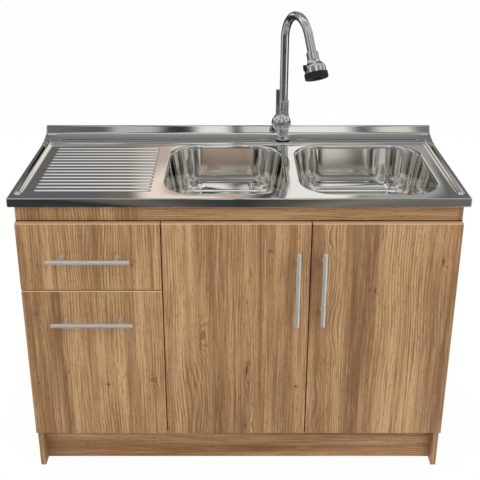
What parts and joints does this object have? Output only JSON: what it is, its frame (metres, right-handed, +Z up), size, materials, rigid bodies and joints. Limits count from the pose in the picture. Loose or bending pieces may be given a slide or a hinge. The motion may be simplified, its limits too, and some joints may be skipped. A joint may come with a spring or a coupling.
{
  "type": "kitchen sink unit",
  "caption": "Floor cabinet with drawers and doors under a pressed steel sink top with a ribbed drainer, bowls and a swan-neck tap",
  "frame": {"origin": "centre of the bounding box at floor level", "axes": "+X to the right seen from the front, +Y to the back, +Z up"},
  "size_m": [1.2, 0.536, 1.2825],
  "materials": {
    "steel": "polished pressed stainless steel",
    "chrome": "bright chrome plate",
    "brass": "turned",
    "handle_steel": "satin brushed",
    "zinc_steel": "bright zinc plated",
    "black_plastic": "fine satin",
    "white_plastic": "satin pipe",
    "grey_plastic": "satin moulded",
    "wood": "oak-patterned laminate"
  },
  "bodies": {
    "cabinet": {"sink_deck": "steel", "left_bowl": "steel", "right_bowl": "steel", "left_waste": "steel", "right_waste": "steel", "drain_nuts": "grey_plastic", "drain_manifold": "white_plastic", "drain_trap": "white_plastic", "tap_body": "chrome", "tap_fixings": "brass", "mixing_cartridge": "white_plastic", "left_end_panel": "wood", "right_end_panel": "wood", "bottom_panel": "wood", "plinth": "wood", "rear_rail": "wood", "drawer_bay_rail": "wood", "sink_bay_rail": "wood", "divider_panel": "wood", "back_panel": "wood", "runner_rails": "zinc_steel", "left_hinge_arms": "zinc_steel", "right_hinge_arms": "zinc_steel"},
    "left_strainer": {"left_basket": "steel"},
    "right_strainer": {"right_basket": "steel"},
    "tap_stem": {"cartridge_stem": "brass"},
    "tap_handle": {"tap_cap": "chrome", "tap_lever": "chrome"},
    "spout": {"spout_sleeve": "chrome", "spout_tube": "chrome"},
    "spray": {"spray_head": "chrome", "spray_grip": "black_plastic"},
    "spray_key": {"spray_button": "black_plastic"},
    "top_drawer": {"top_drawer_front": "wood", "top_drawer_bottom": "wood", "top_drawer_ends": "wood", "top_drawer_sides": "wood", "top_drawer_handle": "handle_steel", "top_drawer_screws": "zinc_steel", "top_drawer_slides": "zinc_steel"},
    "top_runners": {"top_drawer_runners": "zinc_steel"},
    "lower_drawer": {"lower_drawer_front": "wood", "lower_drawer_bottom": "wood", "lower_drawer_ends": "wood", "lower_drawer_sides": "wood", "lower_drawer_handle": "handle_steel", "lower_drawer_screws": "zinc_steel", "lower_drawer_slides": "zinc_steel"},
    "lower_runners": {"lower_drawer_runners": "zinc_steel"},
    "left_door": {"left_door_panel": "wood", "left_door_handle": "handle_steel", "left_door_screws": "zinc_steel", "left_hinge_cups": "zinc_steel"},
    "left_links": {"left_hinge_links": "zinc_steel"},
    "right_door": {"right_door_panel": "wood", "right_door_handle": "handle_steel", "right_door_screws": "zinc_steel", "right_hinge_cups": "zinc_steel"},
    "right_links": {"right_hinge_links": "zinc_steel"}
  },
  "joints": [
    {"name": "top_drawer_slide", "type": "slide", "parent": "cabinet", "child": "top_drawer", "axis": [0, -1, 0], "range_m": [0, 0.33]},
    {"name": "top_runner_slide", "type": "slide", "parent": "cabinet", "child": "top_runners", "axis": [0, -1, 0], "range_m": [0, 0.165]},
    {"name": "lower_drawer_slide", "type": "slide", "parent": "cabinet", "child": "lower_drawer", "axis": [0, -1, 0], "range_m": [0, 0.33]},
    {"name": "lower_runner_slide", "type": "slide", "parent": "cabinet", "child": "lower_runners", "axis": [0, -1, 0], "range_m": [0, 0.165]},
    {"name": "left_link_turn", "type": "hinge", "parent": "cabinet", "child": "left_links", "pos_m": [-0.162, -0.207, 0.4635], "axis": [0, 0, 1], "range_deg": [0, 46]},
    {"name": "left_door_hinge", "type": "hinge", "parent": "left_links", "child": "left_door", "pos_m": [-0.1875, -0.218, 0.4635], "axis": [0, 0, -1], "range_deg": [0, 135.9]},
    {"name": "right_link_turn", "type": "hinge", "parent": "cabinet", "child": "right_links", "pos_m": [0.544, -0.207, 0.4635], "axis": [0, 0, -1], "range_deg": [0, 46]},
    {"name": "right_door_hinge", "type": "hinge", "parent": "right_links", "child": "right_door", "pos_m": [0.5695, -0.218, 0.4635], "axis": [0, 0, 1], "range_deg": [0, 135.9]},
    {"name": "left_basket_lift", "type": "slide", "parent": "cabinet", "child": "left_strainer", "axis": [0, 0, 1], "range_m": [0, 0.06]},
    {"name": "right_basket_lift", "type": "slide", "parent": "cabinet", "child": "right_strainer", "axis": [0, 0, 1], "range_m": [0, 0.06]},
    {"name": "lever_turn", "type": "hinge", "parent": "cabinet", "child": "tap_stem", "pos_m": [0.13002, 0.18824, 0.93937], "axis": [-0.2346, -0.8754, 0.4226], "range_deg": [-35, 35]},
    {"name": "lever_lift", "type": "hinge", "parent": "tap_stem", "child": "tap_handle", "pos_m": [0.13002, 0.18824, 0.93937], "axis": [0.9659, -0.2588, 0], "range_deg": [0, 20]},
    {"name": "spout_swivel", "type": "hinge", "parent": "cabinet", "child": "spout", "pos_m": [0.138, 0.218, 0.9564], "axis": [0, 0, 1], "range_deg": [-100, 58]},
    {"name": "spray_swivel", "type": "hinge", "parent": "spout", "child": "spray", "pos_m": [0.2068, 0.04771, 1.16544], "axis": [0.1759, -0.4353, -0.8829], "range_deg": [-90, 90]},
    {"name": "spray_key_press", "type": "slide", "parent": "spray", "child": "spray_key", "axis": [0.9272, 0.3746, 0], "range_m": [0, 0.0015], "stiffness_N_per_m": 900}
  ],
  "couplings": [
    {"joint": "top_runner_slide", "follows": "top_drawer_slide", "ratio": 0.5},
    {"joint": "lower_runner_slide", "follows": "lower_drawer_slide", "ratio": 0.5},
    {"joint": "left_link_turn", "follows": "left_door_hinge", "ratio": 0.3377},
    {"joint": "right_link_turn", "follows": "right_door_hinge", "ratio": 0.3377}
  ]
}
